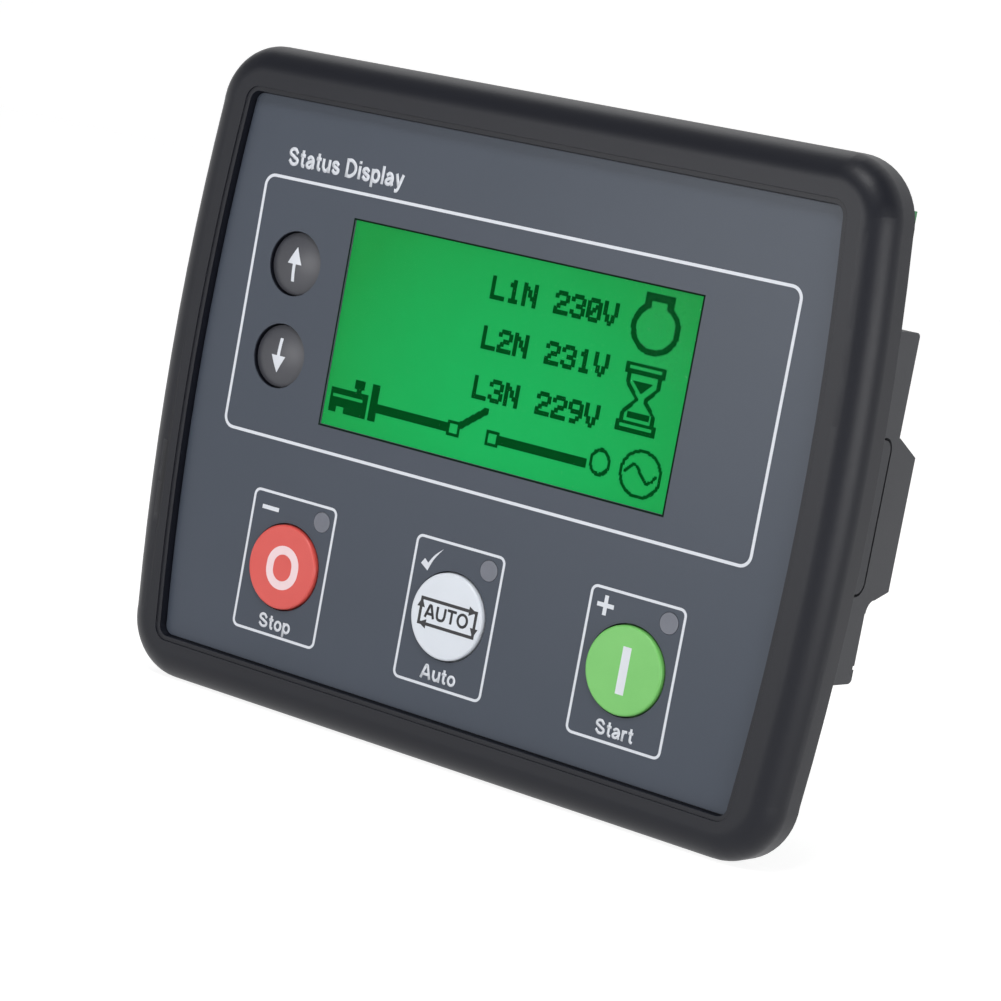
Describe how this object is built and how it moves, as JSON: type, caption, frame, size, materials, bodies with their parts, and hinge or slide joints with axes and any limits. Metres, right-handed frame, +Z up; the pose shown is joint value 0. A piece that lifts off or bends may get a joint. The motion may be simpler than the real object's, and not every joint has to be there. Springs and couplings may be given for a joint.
{
  "type": "generating set controller",
  "caption": "Flush panel-mounted generator controller with a rounded bezel, green display, arrow keys, coloured stop, auto and start keys, and a stepped rear case with plug-in terminals.",
  "frame": {"origin": "middle of the bezel's outline, on its rear face, which sits on the panel's front", "axes": "+X to the right of the face, +Y into the panel, +Z up; the face looks along -Y"},
  "size_m": [0.141, 0.0436, 0.113],
  "materials": {
    "housing_plastic": "satin moulded black",
    "cover_plastic": "fine matte moulded grey-black",
    "fascia_foil": "matte printed foil",
    "clear_pane": "clear gloss",
    "display_green": "lit display",
    "light_guide": "clear moulded",
    "white_plastic": "matte",
    "circuit_board": "solder mask",
    "chip_black": "moulded epoxy",
    "capacitor_sleeve": "drawn can",
    "bright_steel": "zinc plated",
    "red_key": "satin moulded",
    "white_key": "satin moulded",
    "green_key": "satin moulded",
    "grey_key": "satin moulded",
    "switch_black": "moulded",
    "lamp_lens": "smoked lens",
    "diode_lens": "diffused lens",
    "seal_rubber": "matte",
    "terminal_green": "moulded",
    "contact_brass": "tin plated"
  },
  "bodies": {
    "controller": {"front_housing": "housing_plastic", "fascia_overlay": "fascia_foil", "display_window": "clear_pane", "lcd_cell": "display_green", "lcd_light_guide": "light_guide", "lcd_frame": "white_plastic", "main_board": "circuit_board", "microcontroller": "chip_black", "driver_chips": "chip_black", "supply_capacitors": "capacitor_sleeve", "board_screws": "bright_steel", "key_switches": "switch_black", "light_pipes": "lamp_lens", "status_diodes": "diode_lens", "panel_gasket": "seal_rubber", "rear_cover": "cover_plastic", "header_top_left": "terminal_green", "header_top_middle": "terminal_green", "header_top_right": "terminal_green", "header_bottom_left": "terminal_green", "header_bottom_right": "terminal_green", "plug_top_left": "terminal_green", "plug_top_middle": "terminal_green", "plug_top_right": "terminal_green", "plug_bottom_left": "terminal_green", "plug_bottom_right": "terminal_green", "header_pins": "contact_brass", "wire_clamps": "bright_steel", "terminal_screws": "bright_steel"},
    "stop_button": {"stop_key": "red_key", "stop_plunger": "switch_black"},
    "auto_button": {"auto_key": "white_key", "auto_plunger": "switch_black"},
    "start_button": {"start_key": "green_key", "start_plunger": "switch_black"},
    "up_button": {"up_key": "grey_key", "up_plunger": "switch_black"},
    "down_button": {"down_key": "grey_key", "down_plunger": "switch_black"}
  },
  "joints": [
    {"name": "stop_press", "type": "slide", "parent": "controller", "child": "stop_button", "axis": [0, 1, 0], "range_m": [0, 0.0005], "stiffness_N_per_m": 1600, "springref_m": -0.0005},
    {"name": "auto_press", "type": "slide", "parent": "controller", "child": "auto_button", "axis": [0, 1, 0], "range_m": [0, 0.0005], "stiffness_N_per_m": 1600, "springref_m": -0.0005},
    {"name": "start_press", "type": "slide", "parent": "controller", "child": "start_button", "axis": [0, 1, 0], "range_m": [0, 0.0005], "stiffness_N_per_m": 1600, "springref_m": -0.0005},
    {"name": "up_press", "type": "slide", "parent": "controller", "child": "up_button", "axis": [0, 1, 0], "range_m": [0, 0.0005], "stiffness_N_per_m": 1600, "springref_m": -0.0005},
    {"name": "down_press", "type": "slide", "parent": "controller", "child": "down_button", "axis": [0, 1, 0], "range_m": [0, 0.0005], "stiffness_N_per_m": 1600, "springref_m": -0.0005}
  ]
}
